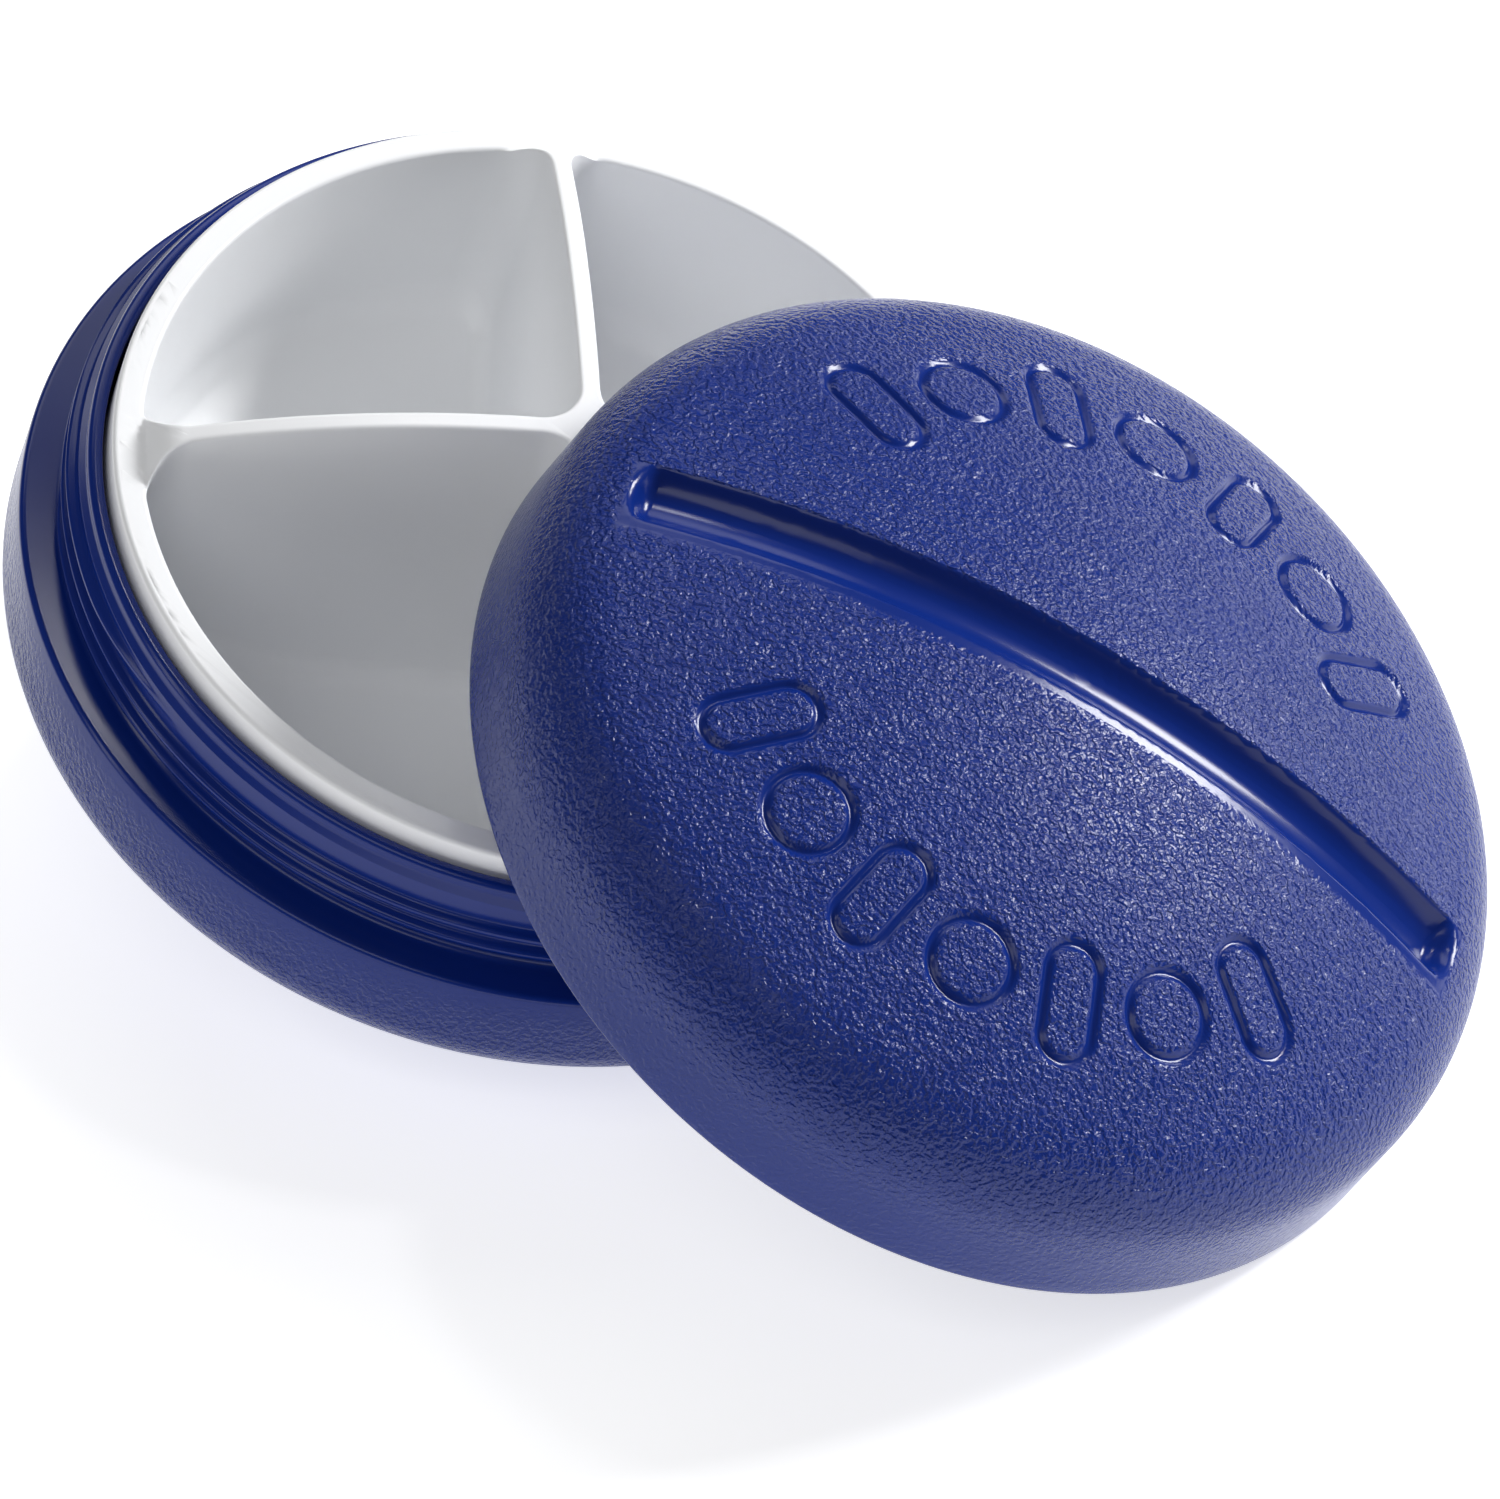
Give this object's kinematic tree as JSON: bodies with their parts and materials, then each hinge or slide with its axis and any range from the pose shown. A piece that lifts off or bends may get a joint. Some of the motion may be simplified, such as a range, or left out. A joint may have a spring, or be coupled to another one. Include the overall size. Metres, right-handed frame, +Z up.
{
  "type": "pill box",
  "caption": "Tablet-shaped screw-top pill box standing open: domed base, lift-out tray divided into compartments, and a scored domed lid leaning on it.",
  "frame": {"origin": "on the floor, under the middle of the open box's outline", "axes": "+Z up; +X along the open box, from the base to the lid, the way the base leans; +Y across it"},
  "size_m": [0.1146, 0.0782, 0.0495],
  "materials": {
    "blue_shell": "deep blue moulded plastic, leather grain outside, glossy neck and ledge",
    "white_tray": "smooth satin white moulded plastic",
    "blue_lid": "deep blue moulded plastic, strong leather grain on the dome, smooth groove and marks"
  },
  "bodies": {
    "base": {"base_shell": "blue_shell"},
    "tray": {"divider_tray": "white_tray"},
    "lid": {"lid_shell": "blue_lid"}
  },
  "joints": [
    {"name": "tray_lift", "type": "slide", "parent": "base", "child": "tray", "axis": [0.3223, 0, 0.9466], "range_m": [0, 0.03]},
    {"name": "lid_lift", "type": "slide", "parent": "tray", "child": "lid", "axis": [0, 0, 1], "range_m": [0, 0.08]}
  ]
}
